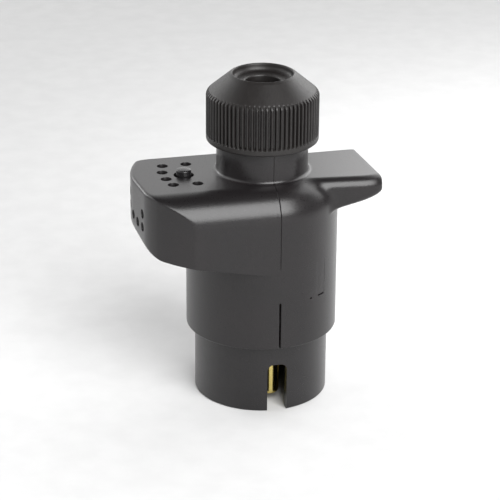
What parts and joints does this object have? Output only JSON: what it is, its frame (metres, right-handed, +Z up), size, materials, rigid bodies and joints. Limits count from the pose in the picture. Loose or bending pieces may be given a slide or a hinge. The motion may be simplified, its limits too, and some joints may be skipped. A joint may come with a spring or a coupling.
{
  "type": "trailer wiring connector",
  "caption": "Upright round trailer plug with recessed contact pins, a keyed sleeve, a side box with a test button, a finger wing and a ribbed cable gland nut.",
  "frame": {"origin": "centre of the bottom of the whole object's box, in the plane of the contact sleeve's rim; the plug's own axis is 2.95 mm along +X from it", "axes": "+Z up along the plug axis from the contact pins to the cable gland, +X towards the finger wing, -X towards the side box, -Y towards the key slot"},
  "size_m": [0.0676, 0.0424, 0.0939],
  "materials": {
    "shell_plastic": "satin charcoal moulded plastic with a fine eroded texture",
    "carrier_plastic": "satin black moulded plastic",
    "nut_plastic": "matte black moulded plastic with fine ribs",
    "ring_plastic": "black moulded plastic",
    "brass": "turned and bright",
    "plated_steel": "zinc plated",
    "seal_rubber": "matte",
    "button_plastic": "semi-gloss black",
    "board_laminate": "glass laminate with green solder mask",
    "lamp_epoxy": "smoked epoxy"
  },
  "bodies": {
    "root": {"left_shell": "shell_plastic", "right_shell": "shell_plastic", "contact_carrier": "carrier_plastic", "contact_pin_1": "brass", "contact_pin_2": "brass", "contact_pin_3": "brass", "contact_pin_4": "brass", "contact_pin_5": "brass", "contact_pin_6": "brass", "contact_pin_7": "brass", "terminal_screw_1": "plated_steel", "terminal_screw_2": "plated_steel", "terminal_screw_3": "plated_steel", "terminal_screw_4": "plated_steel", "terminal_screw_5": "plated_steel", "terminal_screw_6": "plated_steel", "terminal_screw_7": "plated_steel", "gland_seal": "seal_rubber", "button_switch": "plated_steel", "circuit_board": "board_laminate", "end_board": "board_laminate", "top_lamp_1": "lamp_epoxy", "top_lamp_2": "lamp_epoxy", "top_lamp_3": "lamp_epoxy", "top_lamp_4": "lamp_epoxy", "top_lamp_5": "lamp_epoxy", "top_lamp_6": "lamp_epoxy", "end_lamp_1": "lamp_epoxy", "end_lamp_2": "lamp_epoxy", "end_lamp_3": "lamp_epoxy", "end_lamp_4": "lamp_epoxy", "end_lamp_5": "lamp_epoxy", "end_lamp_6": "lamp_epoxy"},
    "thrust_ring": {"thrust_ring": "ring_plastic"},
    "gland_nut": {"gland_nut": "nut_plastic"},
    "push_button": {"push_button": "button_plastic"}
  },
  "joints": [
    {"name": "gland_rise", "type": "slide", "parent": "root", "child": "thrust_ring", "axis": [0, 0, 1], "range_m": [0, 0.006]},
    {"name": "gland_turn", "type": "hinge", "parent": "thrust_ring", "child": "gland_nut", "pos_m": [0.00295, 0, 0.082], "axis": [0, 0, 1], "range_deg": [0, 1080]},
    {"name": "button_press", "type": "slide", "parent": "root", "child": "push_button", "axis": [0, 0, -1], "range_m": [0, 0.0009], "stiffness_N_per_m": 300, "springref_m": -0.002}
  ],
  "couplings": [
    {"joint": "gland_rise", "follows": "gland_turn", "m_per_rad": 0.0003183}
  ]
}
